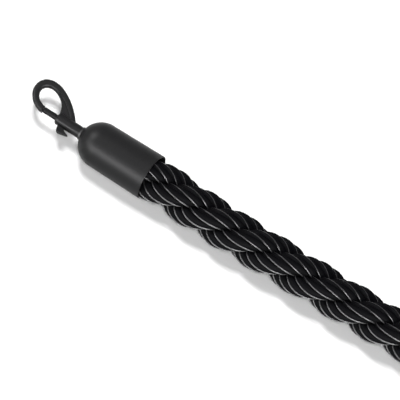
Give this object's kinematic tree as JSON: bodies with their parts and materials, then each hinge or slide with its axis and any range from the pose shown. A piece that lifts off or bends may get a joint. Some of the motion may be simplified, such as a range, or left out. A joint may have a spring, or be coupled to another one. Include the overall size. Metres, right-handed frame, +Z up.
{
  "type": "barrier rope with swivel snap ends",
  "caption": "Twisted barrier rope with a domed cap and a swivel sliding-bolt snap hook at each end, laid out straight with its far length in one coil.",
  "frame": {"origin": "middle of hook A's eye, on the level of the end cap's axis", "axes": "+X from hook A along the rope, +Y to the side the coil lies on, +Z up from the surface it lies on"},
  "size_m": [0.5812, 0.3771, 0.0342],
  "materials": {
    "rope_yarn": "glossy twisted polyester",
    "whipping_twine": "matt waxed twine",
    "cap_finish": "satin black",
    "hook_finish": "semi-gloss black",
    "bolt_finish": "satin black",
    "bush_plastic": "moulded",
    "black_steel": "black oxide",
    "zinc_steel": "zinc plated",
    "spring_steel": "drawn wire"
  },
  "bodies": {
    "root": {"rope_run": "rope_yarn", "rope_coil": "rope_yarn", "rope_tail": "rope_yarn", "end_cap_a": "cap_finish", "cap_screws_a": "black_steel", "rope_whipping_a": "whipping_twine", "swivel_bush_a": "bush_plastic", "backing_washer_a": "zinc_steel", "thrust_washer_a": "zinc_steel", "end_cap_b": "cap_finish", "cap_screws_b": "black_steel", "rope_whipping_b": "whipping_twine", "swivel_bush_b": "bush_plastic", "backing_washer_b": "zinc_steel", "thrust_washer_b": "zinc_steel"},
    "hook_a": {"hook_body_a": "hook_finish", "swivel_stud_a": "zinc_steel", "lock_nut_a": "zinc_steel", "bolt_spring_a": "spring_steel"},
    "bolt_a": {"gate_bolt_a": "bolt_finish", "thumb_stud_a": "bolt_finish"},
    "hook_b": {"hook_body_b": "hook_finish", "swivel_stud_b": "zinc_steel", "lock_nut_b": "zinc_steel", "bolt_spring_b": "spring_steel"},
    "bolt_b": {"gate_bolt_b": "bolt_finish", "thumb_stud_b": "bolt_finish"}
  },
  "joints": [
    {"name": "swivel_a", "type": "hinge", "parent": "root", "child": "hook_a", "pos_m": [0.0335, -0.009, 0], "axis": [-1, 0, 0], "continuous": true},
    {"name": "gate_slide_a", "type": "slide", "parent": "hook_a", "child": "bolt_a", "axis": [1, 0, 0], "range_m": [0, 0.0075], "stiffness_N_per_m": 350, "springref_m": -0.006, "deforming": ["bolt_spring_a"]},
    {"name": "swivel_b", "type": "hinge", "parent": "root", "child": "hook_b", "pos_m": [0.43365, 0.06953, 0], "axis": [1, 0, 0], "continuous": true},
    {"name": "gate_slide_b", "type": "slide", "parent": "hook_b", "child": "bolt_b", "axis": [-1, 0, 0], "range_m": [0, 0.0075], "stiffness_N_per_m": 350, "springref_m": -0.006, "deforming": ["bolt_spring_b"]}
  ]
}
